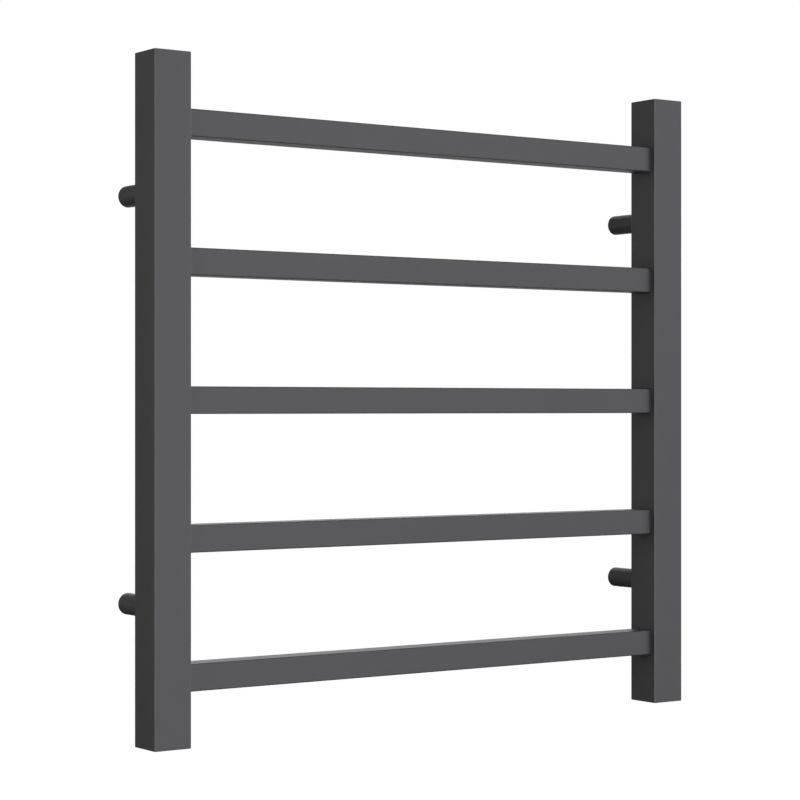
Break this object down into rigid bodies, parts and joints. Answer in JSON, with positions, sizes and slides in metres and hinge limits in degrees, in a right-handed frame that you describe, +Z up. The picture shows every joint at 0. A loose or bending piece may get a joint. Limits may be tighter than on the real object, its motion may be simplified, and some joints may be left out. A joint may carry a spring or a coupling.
{
  "type": "towel warmer rack",
  "caption": "Wall-hung electric towel rail: square uprights and square cross bars in dark satin powder coat, on round wall posts.",
  "frame": {"origin": "midway between the two upper wall screws, on the wall plane", "axes": "+X along the bars towards the viewer's right, +Y into the wall, +Z up; the wall is the plane Y = 0"},
  "size_m": [0.5, 0.068, 0.5],
  "materials": {
    "coat": "dark grey satin powder coat",
    "cap_plastic": "moulded, matched to the coat",
    "boss_steel": "turned",
    "screw_steel": "plain",
    "silicone": "matt",
    "black_rubber": "matt",
    "black_plastic": "matt",
    "tinned_brass": "tinned",
    "earth_insulation": "smooth"
  },
  "bodies": {
    "wall_bosses": {"left_upper_boss": "boss_steel", "right_upper_boss": "boss_steel", "right_lower_boss": "boss_steel"},
    "rack": {"left_upright": "coat", "right_upright": "coat", "bar_1": "coat", "bar_2": "coat", "bar_3": "coat", "bar_4": "coat", "bar_5": "coat", "left_top_cap": "cap_plastic", "right_top_cap": "cap_plastic", "left_bottom_cap": "cap_plastic", "right_bottom_cap": "cap_plastic", "left_upper_post": "coat", "right_upper_post": "coat", "right_lower_post": "coat", "wiring_post": "coat", "cable_bush": "black_rubber", "lower_heating_cable": "silicone", "upper_heating_cable": "silicone", "thermal_cutout": "black_plastic", "cable_end_seal": "black_rubber", "joint_sleeve": "black_plastic", "joint_crimps": "tinned_brass", "earth_lead": "earth_insulation", "earth_receptacle": "tinned_brass", "earth_tab": "tinned_brass"},
    "left_upper_set_screw_body": {"left_upper_set_screw": "screw_steel"},
    "right_upper_set_screw_body": {"right_upper_set_screw": "screw_steel"},
    "right_lower_set_screw_body": {"right_lower_set_screw": "screw_steel"}
  },
  "joints": [
    {"name": "rack_pull_off", "type": "slide", "parent": "wall_bosses", "child": "rack", "axis": [0, -1, 0], "range_m": [0, 0.1]},
    {"name": "left_upper_set_screw_back_out", "type": "slide", "parent": "rack", "child": "left_upper_set_screw_body", "axis": [0, 0, -1], "range_m": [0, 0.0015]},
    {"name": "right_upper_set_screw_back_out", "type": "slide", "parent": "rack", "child": "right_upper_set_screw_body", "axis": [0, 0, -1], "range_m": [0, 0.0015]},
    {"name": "right_lower_set_screw_back_out", "type": "slide", "parent": "rack", "child": "right_lower_set_screw_body", "axis": [0, 0, -1], "range_m": [0, 0.0015]}
  ]
}
